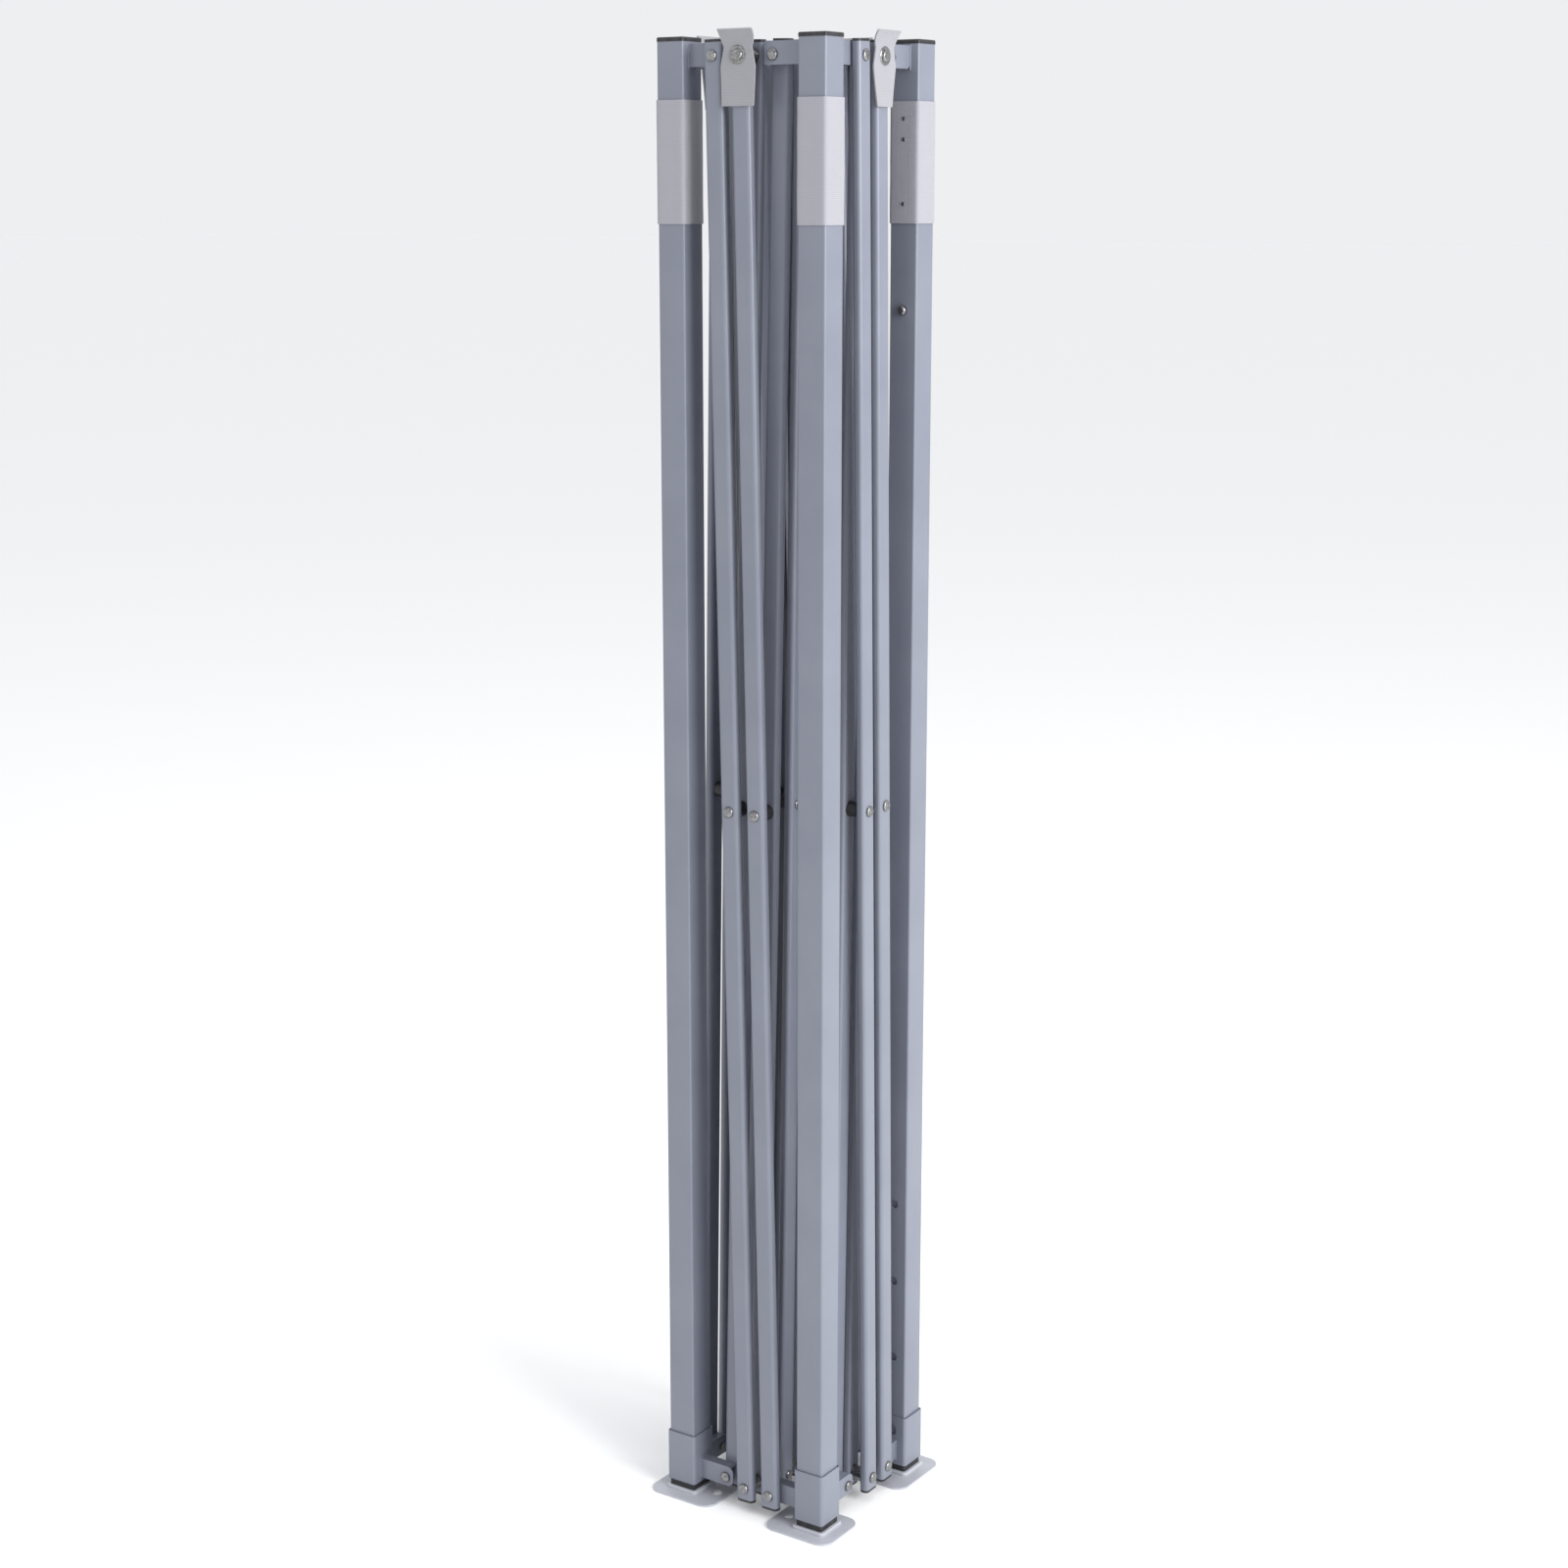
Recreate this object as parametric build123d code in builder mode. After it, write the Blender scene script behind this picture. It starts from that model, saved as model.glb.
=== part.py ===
"""Folding frame of a pop up canopy, standing folded: four telescoping legs, a double
scissor truss on each side, and a crossed pair of scissor trusses that lift a centre mast.

Millimetres, +Z up. The origin is on the floor, under the centre of the folded bundle.
Sides and corners are numbered 1 to 4, anticlockwise seen from above: side 1 faces -Y and
runs from leg 1 to leg 2. The trusses of the four sides are alike, each turned by 90 degrees.
"""
import os
from math import hypot

from build123d import *

# ---------------------------------------------------------------- overall sizes
SIDES = 4
FRAME_HEIGHT = 1451.0          # floor to the top of the leg caps, folded
TOP_PIVOT_DROP = 18.0          # leg cap top down to the upper row of pivots
BOTTOM_PIVOT_Z = 26.0          # floor up to the lower row of pivots when folded

# ---------------------------------------------------------------- legs
LEG_SIDE = 30.0
LEG_WALL = 1.2
LEG_CORNER = 2.0
INNER_LEG_SIDE = 25.0
INNER_LEG_WALL = 1.0
INNER_LEG_CORNER = 1.5
INNER_LEG_LENGTH = 756.0       # foot boss up to the tube's top end
HEIGHT_PIN_FROM_TOP = 30.0     # inner leg's spring pin, below its top end
HEIGHT_PIN_RADIUS = 3.9
HEIGHT_HOLE_RADIUS = 4.5
HEIGHT_HOLE_FIRST_Z = 131.0    # lowest height setting, above the floor
HEIGHT_HOLE_PITCH = 84.0
HEIGHT_HOLES = 3
CAP_THICKNESS = 4.0
CAP_OVERHANG = 0.3             # plastic cap and bush stand this far out from the tube
CAP_PLUG_DEPTH = 14.0
BUSH_FLANGE = 6.0
BUSH_SLEEVE = 24.0
SLIP = 0.3                     # gap between plastic inserts and the tubes they guide
SEAT_GAP = 0.05                # gap left between pieces that are pressed or pinned together
EDGE_SHARE = 1 / 3             # a softened edge, as a share of the piece's thickness

# ---------------------------------------------------------------- feet
FOOT_THICKNESS = 2.0
FOOT_WIDTH = 64.0
FOOT_HEEL = 32.0               # leg centre to the short end of the foot plate
FOOT_TOE = 46.0                # leg centre to the long end, where the stake hole is
FOOT_CORNER = 14.0
BOSS_SIDE = 38.0
BOSS_RISE = 3.0
BOSS_CORNER = 5.0
STAKE_HOLE_RADIUS = 5.0
STAKE_HOLE_FROM_TOE = 12.0
# Foot k's toe points along its leg's own x (True) or y (False) direction.
TOE_ALONG_X = (True, False, False, True)

# ---------------------------------------------------------------- scissor bars
BAR_WIDTH = 20.0
BAR_THICKNESS = 10.0
BAR_WALL = 1.0
BAR_CORNER = 4.0
BAR_END = 12.0                 # last pivot to the cut end of the tube
PLUG_FLANGE = 2.5
PLUG_DEPTH = 8.0
PLUG_SLIP = 0.2
PLUG_INSET = 0.2               # how far the plug's flange stands in from the tube's outline
BAR_GAP = 12.0                 # between the outer and the inner bar of a side truss
BAR_SPACING_GAP = 10.0         # between neighbouring bars in one plane, folded

# ---------------------------------------------------------------- pivots
RIVET_RADIUS = 3.0
PIVOT_CLEARANCE = 0.05
RIVET_HEAD_RADIUS = 5.5
RIVET_HEAD = 2.6
RIVET_TAIL_RADIUS = 4.5
RIVET_TAIL = 2.0
HEAD_ROUNDING = 0.8            # share of a head's height that is rounded
SPACER_RADIUS = 7.5
CROSS_SPACER_RADIUS = 6.0
SIDE_PLAY = 0.3                # gap between faces that turn past each other
NUT_RADIUS = 5.0
NUT_THICKNESS = 4.0

# ---------------------------------------------------------------- lugs and slider
LUG_THICKNESS = 11.2
LUG_WALL = 1.5
LUG_ABOVE = 12.0               # pivot to the lug's top edge
LUG_BELOW = 9.0
LUG_NOSE = 9.0                 # pivot to the lug's free end
LUG_ROUNDING = 7.0
LUG_ROOT = 0.4                 # how far a lug is sunk into the wall that it is welded to
SLIDER_PLAY = 0.8
SLIDER_WALL = 1.2
SLIDER_BELOW = 14.0            # lower pivot down to the slider's bottom edge
SLIDER_ABOVE = 39.0
LOCK_HOLE_ABOVE = 24.0         # lower pivot up to the slider's lock hole
LOCK_HOLE_RADIUS = 6.0
LOCK_BUTTON_DROP = 249.0       # leg cap top down to the lock button
LOCK_BUTTON_RADIUS = 4.8
LOCK_BUTTON_PLAY = 0.1
LOCK_BUTTON_REACH = 5.0        # how far the button stands out of the leg
LOCK_BUTTON_DOME = 2.5
FLANGE_OVERLAP = 1.7           # a pin's inner flange is this much wider than its hole
FLANGE_THICKNESS = 2.0

# ---------------------------------------------------------------- centre
MAST_RADIUS = 7.5
MAST_WALL = 1.2
MAST_SLIP = 0.3
HUB_WALL = 1.2
HUB_ABOVE = 8.0
HUB_BELOW = 12.0
EAR_THICKNESS = 2.0
EAR_GAP = 1.0                  # ear face to the cross bar beside it
EAR_NOSE = 9.0
EAR_HALF_HEIGHT = 8.0
PLATE_HALF_HEIGHT = 11.0
PLATE_MARGIN = 2.0             # plate beyond the bolt head's edge
PLATE_GAP = 1.0                # inner bar to the bracket plate behind it
CORNER_RELIEF = 1.5            # cross bars pass each other corner to corner by this much
SWING_CLEARANCE = 1.4          # cross bar's swinging end to the side truss
MAST_CAP_RISE = 9.0
MAST_CAP_ROUNDING = 0.6        # share of the cap's rise that is rounded

# ---------------------------------------------------------------- hook-and-loop pieces
BAND_DROP = 56.0               # leg cap top down to the band's upper edge
BAND_HEIGHT = 112.0
BAND_THICKNESS = 1.3
BAND_LIFT = 0.2
TAB_WIDTH = 38.0
TAB_ABOVE = 23.0               # pivot up to the tab's free upper edge
TAB_BELOW = 45.0
TAB_THICKNESS = 1.6

# ---------------------------------------------------------------- worked-out places
top_pivot_z = FRAME_HEIGHT - TOP_PIVOT_DROP
leg_top_z = FRAME_HEIGHT - CAP_THICKNESS
boss_top_z = FOOT_THICKNESS + BOSS_RISE
leg_bottom_z = boss_top_z + BUSH_FLANGE
height_pin_z = boss_top_z + INNER_LEG_LENGTH - HEIGHT_PIN_FROM_TOP
lock_button_z = FRAME_HEIGHT - LOCK_BUTTON_DROP

middle_z = (top_pivot_z + BOTTOM_PIVOT_Z) / 2   # height of the bars' middle pivots
fold_step = BAR_WIDTH + BAR_SPACING_GAP        # sideways run of a bar from pivot to pivot
bar_run = hypot(fold_step, top_pivot_z - BOTTOM_PIVOT_Z)
bar_centre = BAR_GAP / 2 + BAR_THICKNESS / 2    # truss plane to the middle of a bar
bar_outer_face = BAR_GAP / 2 + BAR_THICKNESS
bar_swing = hypot(BAR_WIDTH / 2, BAR_END + PLUG_FLANGE)

hub_radius = MAST_RADIUS + MAST_SLIP + HUB_WALL
ear_inner = hub_radius - EAR_THICKNESS          # ear faces, out from the truss's own plane
ear_outer = hub_radius
cross_centre = ear_outer + EAR_GAP + BAR_THICKNESS / 2
hub_reach = cross_centre + BAR_THICKNESS / 2 + BAR_WIDTH / 2 - fold_step / 2 - CORNER_RELIEF
clevis_setback = bar_outer_face + bar_swing + SWING_CLEARANCE
lug_reach = hub_reach + clevis_setback          # leg centre to its lug's pivot
leg_reach = lug_reach + fold_step               # bundle centre line to a leg's centre
clevis_reach = hub_reach + fold_step            # bundle centre line to a bracket's cross pivot
slider_side = LEG_SIDE + 2 * (SLIDER_PLAY + SLIDER_WALL)


# ---------------------------------------------------------------- planes
def side_plane(side):
    """Middle plane of a side truss: x along the side, y up, z outwards."""
    base = Plane.XZ.rotated((0, 0, 90 * side))
    return base.offset(leg_reach)


def cross_plane(side):
    """Middle plane of the cross truss to that side: x outwards from the centre, y up."""
    facing = side_plane(side)
    return Plane((0, 0, 0), x_dir=facing.z_dir, z_dir=-facing.x_dir)


def leg_plane(corner):
    """Floor plane of a leg: origin on its axis, x towards the next leg, y towards the last."""
    side = side_plane(corner)
    return Plane(side.from_local_coords((-leg_reach, 0, 0)), x_dir=side.x_dir, z_dir=(0, 0, 1))


def lug_planes(corner):
    """The two upright planes of a leg, in which its lugs stand: x away from the leg, y up."""
    leg = leg_plane(corner)
    return (
        Plane(leg.origin, x_dir=leg.x_dir, z_dir=-leg.y_dir),
        Plane(leg.origin, x_dir=leg.y_dir, z_dir=leg.x_dir),
    )


def pin_plane(corner):
    """The upright plane through a leg's axis whose z points out through its pin face."""
    leg = leg_plane(corner)
    return Plane(leg.origin, x_dir=-leg.x_dir, z_dir=leg.y_dir)


def save(label, *solids):
    """Write one node, a single piece or a group of pieces that move together."""
    node = Compound(label=label, children=[*solids])
    export_step(node, f"parts/{label}.step")


# ---------------------------------------------------------------- rivets, plugs, bars
def rivet(plane, place, inner, outer):
    """A domed rivet along a plane's z, from the face at inner to the face at outer."""
    with BuildPart() as pin:
        with BuildSketch(plane.offset(inner)):
            with Locations(place):
                Circle(RIVET_RADIUS)
        extrude(amount=outer - inner)
        with BuildSketch(plane.offset(outer)):
            with Locations(place):
                Circle(RIVET_HEAD_RADIUS)
        extrude(amount=RIVET_HEAD)
        fillet(pin.faces().sort_by(Axis(plane.origin, plane.z_dir))[-1].edges(), RIVET_HEAD * HEAD_ROUNDING)
        with BuildSketch(plane.offset(inner)):
            with Locations(place):
                Circle(RIVET_TAIL_RADIUS)
        extrude(amount=-RIVET_TAIL)
        chamfer(pin.faces().sort_by(Axis(plane.origin, plane.z_dir))[0].edges(), RIVET_TAIL * EDGE_SHARE)
    return pin.part


def spacer(plane, place, inner, outer, radius):
    """A plastic ring on a rivet, filling the gap between two bars."""
    with BuildPart() as ring:
        with BuildSketch(plane.offset(inner)):
            with Locations(place):
                Circle(radius)
                Circle(RIVET_RADIUS + PIVOT_CLEARANCE, mode=Mode.SUBTRACT)
        extrude(amount=outer - inner)
    return ring.part


def bar_section(plane, low, high, level, along):
    """The plane square to a bar, at a distance along it from its low pivot."""
    start = plane.from_local_coords((*low, level))
    direction = (plane.from_local_coords((*high, level)) - start).normalized()
    return Plane(start + direction * along, x_dir=plane.z_dir, z_dir=direction)


def bar_tube(plane, low, high, level, holes):
    """A flat-oval tube between two pivots, drilled through at each place in holes."""
    with BuildPart() as tube:
        with BuildSketch(bar_section(plane, low, high, level, -BAR_END)):
            RectangleRounded(BAR_THICKNESS, BAR_WIDTH, BAR_CORNER)
            RectangleRounded(
                BAR_THICKNESS - 2 * BAR_WALL,
                BAR_WIDTH - 2 * BAR_WALL,
                BAR_CORNER - BAR_WALL,
                mode=Mode.SUBTRACT,
            )
        extrude(amount=bar_run + 2 * BAR_END)
        with BuildSketch(plane.offset(level)):
            with Locations(*holes):
                Circle(RIVET_RADIUS + PIVOT_CLEARANCE)
        extrude(amount=BAR_THICKNESS, both=True, mode=Mode.SUBTRACT)
    return tube.part


def bar_plug(section, outwards):
    """The plug in a bar's end: a flange on the cut end and a stub inside the tube."""
    room = 2 * (BAR_WALL + PLUG_SLIP)
    rim = 2 * PLUG_INSET
    with BuildPart() as plug:
        with BuildSketch(section):
            RectangleRounded(BAR_THICKNESS - rim, BAR_WIDTH - rim, BAR_CORNER - PLUG_INSET)
        extrude(amount=outwards * PLUG_FLANGE)
        with BuildSketch(section):
            RectangleRounded(
                BAR_THICKNESS - room, BAR_WIDTH - room, BAR_CORNER - room / 2
            )
        extrude(amount=-outwards * PLUG_DEPTH)
    return plug.part


def save_bar(label, plane, low, high, level, *fittings):
    """Write a bar with its two plugs and the rivets and spacer that it carries."""
    middle = ((low[0] + high[0]) / 2, (low[1] + high[1]) / 2)
    save(
        label,
        bar_tube(plane, low, high, level, (low, middle, high)),
        bar_plug(bar_section(plane, low, high, level, -BAR_END), -1),
        bar_plug(bar_section(plane, low, high, level, bar_run + BAR_END), 1),
        *fittings,
    )


def channel_lug(plane, start, pivot_z):
    """A lug standing out in a plane: a channel, open below, with a rivet hole."""
    end = lug_reach + LUG_NOSE
    top = pivot_z + LUG_ABOVE
    bottom = pivot_z - LUG_BELOW
    with BuildPart() as lug:
        with BuildSketch(plane) as outline:
            with Locations(((start + end) / 2, (top + bottom) / 2)):
                Rectangle(end - start, top - bottom)
            corners = outline.vertices().group_by(Axis(plane.origin, plane.x_dir))[-1]
            fillet(corners, LUG_ROUNDING)
        extrude(amount=LUG_THICKNESS / 2, both=True)
        with BuildSketch(plane):
            with Locations((start + LUG_ROOT + LUG_WALL, top - LUG_WALL)):
                Rectangle(lug_reach, top - bottom, align=(Align.MIN, Align.MAX))
        extrude(amount=LUG_THICKNESS / 2 - LUG_WALL, both=True, mode=Mode.SUBTRACT)
        with BuildSketch(plane):
            with Locations((lug_reach, pivot_z)):
                Circle(RIVET_RADIUS + PIVOT_CLEARANCE)
        extrude(amount=LUG_THICKNESS, both=True, mode=Mode.SUBTRACT)
    return lug.part


# ---------------------------------------------------------------- leg sub-parts
def outer_leg(corner):
    """The outer tube with its two lugs welded on, drilled for the pins."""
    leg = leg_plane(corner)
    lugs = [
        channel_lug(plane, LEG_SIDE / 2 - LUG_ROOT, top_pivot_z) for plane in lug_planes(corner)
    ]
    with BuildPart() as tube:
        with BuildSketch(leg.offset(leg_bottom_z)):
            RectangleRounded(LEG_SIDE, LEG_SIDE, LEG_CORNER)
        extrude(amount=leg_top_z - leg_bottom_z)
        add(lugs)
        with BuildSketch(leg.offset(leg_bottom_z)):
            bore = LEG_SIDE - 2 * LEG_WALL
            RectangleRounded(bore, bore, LEG_CORNER - LEG_WALL / 2)
        extrude(amount=leg_top_z - leg_bottom_z, mode=Mode.SUBTRACT)
        with BuildSketch(pin_plane(corner)):
            with Locations((0, HEIGHT_HOLE_FIRST_Z + HEIGHT_HOLE_PITCH * (HEIGHT_HOLES - 1) / 2)):
                with GridLocations(1, HEIGHT_HOLE_PITCH, 1, HEIGHT_HOLES):
                    Circle(HEIGHT_HOLE_RADIUS)
            with Locations((0, lock_button_z)):
                Circle(LOCK_BUTTON_RADIUS + LOCK_BUTTON_PLAY)
        extrude(amount=LEG_SIDE, mode=Mode.SUBTRACT)
    return tube.part


def leg_cap(corner):
    """The plastic cap in the leg's top end."""
    leg = leg_plane(corner)
    flange = LEG_SIDE + 2 * CAP_OVERHANG
    plug = LEG_SIDE - 2 * LEG_WALL - SLIP
    with BuildPart() as cap:
        with BuildSketch(leg.offset(leg_top_z)):
            RectangleRounded(flange, flange, LEG_CORNER)
        extrude(amount=CAP_THICKNESS)
        fillet(cap.faces().sort_by(Axis.Z)[-1].edges(), CAP_THICKNESS * EDGE_SHARE)
        with BuildSketch(leg.offset(leg_top_z)):
            RectangleRounded(plug, plug, LEG_CORNER - LEG_WALL / 2)
        extrude(amount=-CAP_PLUG_DEPTH)
    return cap.part


def leg_bush(corner):
    """The plastic bush in the leg's bottom end, in which the inner leg slides."""
    leg = leg_plane(corner)
    flange = LEG_SIDE + 2 * CAP_OVERHANG
    sleeve = LEG_SIDE - 2 * LEG_WALL - 2 * SEAT_GAP
    bore = INNER_LEG_SIDE + 2 * SLIP
    with BuildPart() as bush:
        with BuildSketch(leg.offset(boss_top_z)):
            RectangleRounded(flange, flange, LEG_CORNER)
        extrude(amount=BUSH_FLANGE)
        with BuildSketch(leg.offset(leg_bottom_z)):
            RectangleRounded(sleeve, sleeve, LEG_CORNER - LEG_WALL / 2)
        extrude(amount=BUSH_SLEEVE)
        with BuildSketch(leg.offset(boss_top_z)):
            RectangleRounded(bore, bore, INNER_LEG_CORNER)
        extrude(amount=BUSH_FLANGE + BUSH_SLEEVE, mode=Mode.SUBTRACT)
    return bush.part


def foot_plate(corner):
    """The pressed foot plate, with a raised boss under the tube and a stake hole in the toe."""
    leg = leg_plane(corner)
    middle = (FOOT_TOE - FOOT_HEEL) / 2
    length = FOOT_TOE + FOOT_HEEL
    hole = FOOT_TOE - STAKE_HOLE_FROM_TOE
    recess = BOSS_SIDE - 2 * FOOT_THICKNESS
    along_x = TOE_ALONG_X[corner]
    plate_size = (length, FOOT_WIDTH) if along_x else (FOOT_WIDTH, length)
    plate_place = (middle, 0) if along_x else (0, middle)
    hole_place = (hole, 0) if along_x else (0, hole)
    with BuildPart() as plate:
        with BuildSketch(leg):
            with Locations(plate_place):
                RectangleRounded(*plate_size, FOOT_CORNER)
            with Locations(hole_place):
                Circle(STAKE_HOLE_RADIUS, mode=Mode.SUBTRACT)
        extrude(amount=FOOT_THICKNESS)
        with BuildSketch(leg.offset(FOOT_THICKNESS)):
            RectangleRounded(BOSS_SIDE, BOSS_SIDE, BOSS_CORNER)
        extrude(amount=BOSS_RISE)
        chamfer(plate.faces().sort_by(Axis.Z)[-1].edges(), BOSS_RISE * EDGE_SHARE)
        with BuildSketch(leg):
            RectangleRounded(recess, recess, BOSS_CORNER - FOOT_THICKNESS)
        extrude(amount=BOSS_RISE, mode=Mode.SUBTRACT)
    return plate.part


def inner_tube(corner):
    """The inner leg's tube, which stands on the foot plate's boss."""
    leg = leg_plane(corner)
    bore = INNER_LEG_SIDE - 2 * INNER_LEG_WALL
    with BuildPart() as tube:
        with BuildSketch(leg.offset(boss_top_z)):
            RectangleRounded(INNER_LEG_SIDE, INNER_LEG_SIDE, INNER_LEG_CORNER)
            RectangleRounded(bore, bore, INNER_LEG_CORNER - INNER_LEG_WALL, mode=Mode.SUBTRACT)
        extrude(amount=INNER_LEG_LENGTH)
        with BuildSketch(pin_plane(corner)):
            with Locations((0, height_pin_z)):
                Circle(HEIGHT_PIN_RADIUS + PIVOT_CLEARANCE)
        extrude(amount=INNER_LEG_SIDE, mode=Mode.SUBTRACT)
    return tube.part


def wall_pin(corner, height, radius, inner_face, tip, dome):
    """A spring pin in a tube wall: flange inside the wall, rounded tip outside."""
    plane = pin_plane(corner)
    with BuildPart() as pin:
        with BuildSketch(plane.offset(inner_face - SLIP - FLANGE_THICKNESS)):
            with Locations((0, height)):
                Circle(radius + FLANGE_OVERLAP)
        extrude(amount=FLANGE_THICKNESS)
        with BuildSketch(plane.offset(inner_face - SLIP)):
            with Locations((0, height)):
                Circle(radius)
        extrude(amount=tip - inner_face + SLIP)
        fillet(pin.faces().sort_by(Axis(plane.origin, plane.z_dir))[-1].edges(), dome)
    return pin.part


def slider(corner):
    """The sleeve that rides on the outer leg, with a lug for each neighbouring side."""
    leg = leg_plane(corner)
    height = SLIDER_BELOW + SLIDER_ABOVE
    bottom = leg.offset(BOTTOM_PIVOT_Z - SLIDER_BELOW)
    root = slider_side / 2 - LUG_ROOT
    lugs = [channel_lug(plane, root, BOTTOM_PIVOT_Z) for plane in lug_planes(corner)]
    with BuildPart() as sleeve:
        with BuildSketch(bottom):
            RectangleRounded(slider_side, slider_side, LEG_CORNER + SLIDER_WALL)
        extrude(amount=height)
        add(lugs)
        with BuildSketch(bottom):
            bore = slider_side - 2 * SLIDER_WALL
            RectangleRounded(bore, bore, LEG_CORNER)
        extrude(amount=height, mode=Mode.SUBTRACT)
        with BuildSketch(pin_plane(corner)):
            with Locations((0, BOTTOM_PIVOT_Z + LOCK_HOLE_ABOVE)):
                Circle(LOCK_HOLE_RADIUS)
        extrude(amount=slider_side, mode=Mode.SUBTRACT)
    return sleeve.part


def hook_band(corner):
    """The hook-and-loop band wrapped round the leg below its top."""
    inner = LEG_SIDE + 2 * BAND_LIFT
    outer = inner + 2 * BAND_THICKNESS
    with BuildPart() as band:
        with BuildSketch(leg_plane(corner).offset(FRAME_HEIGHT - BAND_DROP - BAND_HEIGHT)):
            RectangleRounded(outer, outer, LEG_CORNER + BAND_THICKNESS)
            RectangleRounded(inner, inner, LEG_CORNER, mode=Mode.SUBTRACT)
        extrude(amount=BAND_HEIGHT)
    return band.part


def roof_tab(side):
    """The hook-and-loop tab held by the upper middle bolt of a side."""
    plane = side_plane(side).offset(bar_outer_face + SIDE_PLAY)
    with BuildPart() as tab:
        with BuildSketch(plane):
            with Locations((0, top_pivot_z + (TAB_ABOVE - TAB_BELOW) / 2)):
                Rectangle(TAB_WIDTH, TAB_ABOVE + TAB_BELOW)
            with Locations((0, top_pivot_z)):
                Circle(RIVET_RADIUS + PIVOT_CLEARANCE, mode=Mode.SUBTRACT)
        extrude(amount=TAB_THICKNESS)
    return tab.part


# ---------------------------------------------------------------- centre sub-parts
def bracket(side, pivot_z, ear_side):
    """The angle bracket inside a side's middle joint, whose ear holds a cross bar."""
    back = -bar_outer_face - PLATE_GAP
    reach = leg_reach + back
    plate_end = RIVET_HEAD_RADIUS + PLATE_MARGIN
    ear_low = min(ear_side * ear_inner, ear_side * ear_outer)
    with BuildPart() as angle:
        with BuildSketch(side_plane(side).offset(back - EAR_THICKNESS)):
            with Locations((-ear_side * (ear_outer - plate_end) / 2, pivot_z)):
                Rectangle(ear_outer + plate_end, 2 * PLATE_HALF_HEIGHT)
            with Locations((0, pivot_z)):
                Circle(RIVET_RADIUS + PIVOT_CLEARANCE, mode=Mode.SUBTRACT)
        extrude(amount=EAR_THICKNESS)
        with BuildSketch(cross_plane(side).offset(ear_low)) as ear:
            with Locations((clevis_reach - EAR_NOSE, pivot_z)):
                Rectangle(
                    reach - clevis_reach + EAR_NOSE,
                    2 * EAR_HALF_HEIGHT,
                    align=(Align.MIN, Align.CENTER),
                )
            fillet(
                ear.vertices().group_by(Axis((0, 0, 0), side_plane(side).z_dir))[0],
                LUG_ROUNDING,
            )
            with Locations((clevis_reach, pivot_z)):
                Circle(RIVET_RADIUS + PIVOT_CLEARANCE, mode=Mode.SUBTRACT)
        extrude(amount=EAR_THICKNESS)
    return angle.part


def middle_bolt(side, pivot_z, head_face):
    """The bolt through both bars of a middle joint and the bracket behind them."""
    plane = side_plane(side)
    nut_face = -bar_outer_face - PLATE_GAP - EAR_THICKNESS
    with BuildPart() as bolt:
        with BuildSketch(plane.offset(nut_face - NUT_THICKNESS)):
            with Locations((0, pivot_z)):
                Circle(RIVET_RADIUS)
        extrude(amount=head_face - nut_face + NUT_THICKNESS)
        with BuildSketch(plane.offset(nut_face - NUT_THICKNESS)):
            with Locations((0, pivot_z)):
                RegularPolygon(NUT_RADIUS, 6)
        extrude(amount=NUT_THICKNESS)
        with BuildSketch(plane.offset(head_face)):
            with Locations((0, pivot_z)):
                Circle(RIVET_HEAD_RADIUS)
        extrude(amount=RIVET_HEAD)
        fillet(bolt.faces().sort_by(Axis(plane.origin, plane.z_dir))[-1].edges(), RIVET_HEAD * HEAD_ROUNDING)
    return bolt.part


def hub(pivot_z, ear_side, bore_radius):
    """A tube round the mast with four ears, each beside its side's cross bar."""
    ear_low = min(ear_side * ear_inner, ear_side * ear_outer)
    with BuildPart() as body:
        with BuildSketch(Plane.XY.offset(pivot_z - HUB_BELOW)):
            Circle(hub_radius)
        extrude(amount=HUB_BELOW + HUB_ABOVE)
        for side in range(SIDES):
            axis = Axis((0, 0, 0), side_plane(side).z_dir)
            with BuildSketch(cross_plane(side).offset(ear_low)) as ear:
                with Locations(((hub_reach + EAR_NOSE) / 2, pivot_z)):
                    Rectangle(hub_reach + EAR_NOSE, 2 * EAR_HALF_HEIGHT)
                fillet(ear.vertices().group_by(axis)[-1], LUG_ROUNDING)
                with Locations((hub_reach, pivot_z)):
                    Circle(RIVET_RADIUS + PIVOT_CLEARANCE, mode=Mode.SUBTRACT)
            extrude(amount=EAR_THICKNESS)
        with BuildSketch(Plane.XY.offset(pivot_z - HUB_BELOW)):
            Circle(bore_radius)
        extrude(amount=HUB_BELOW + HUB_ABOVE, mode=Mode.SUBTRACT)
    return body.part


def mast():
    """The tube that stands in the lower hub and slides up through the upper one."""
    bottom = BOTTOM_PIVOT_Z - HUB_BELOW
    with BuildPart() as tube:
        with BuildSketch(Plane.XY.offset(bottom)):
            Circle(MAST_RADIUS)
            Circle(MAST_RADIUS - MAST_WALL, mode=Mode.SUBTRACT)
        extrude(amount=top_pivot_z + HUB_ABOVE + SIDE_PLAY - bottom)
    return tube.part


def mast_cap():
    """The rounded plastic top of the mast, on which the roof's peak rests."""
    seat = Plane.XY.offset(top_pivot_z + HUB_ABOVE + SIDE_PLAY)
    with BuildPart() as cap:
        with BuildSketch(seat):
            Circle(hub_radius)
        extrude(amount=MAST_CAP_RISE)
        fillet(cap.faces().sort_by(Axis.Z)[-1].edges(), MAST_CAP_RISE * MAST_CAP_ROUNDING)
        with BuildSketch(seat):
            Circle(MAST_RADIUS - MAST_WALL - PLUG_SLIP)
        extrude(amount=-CAP_PLUG_DEPTH)
    return cap.part


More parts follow.
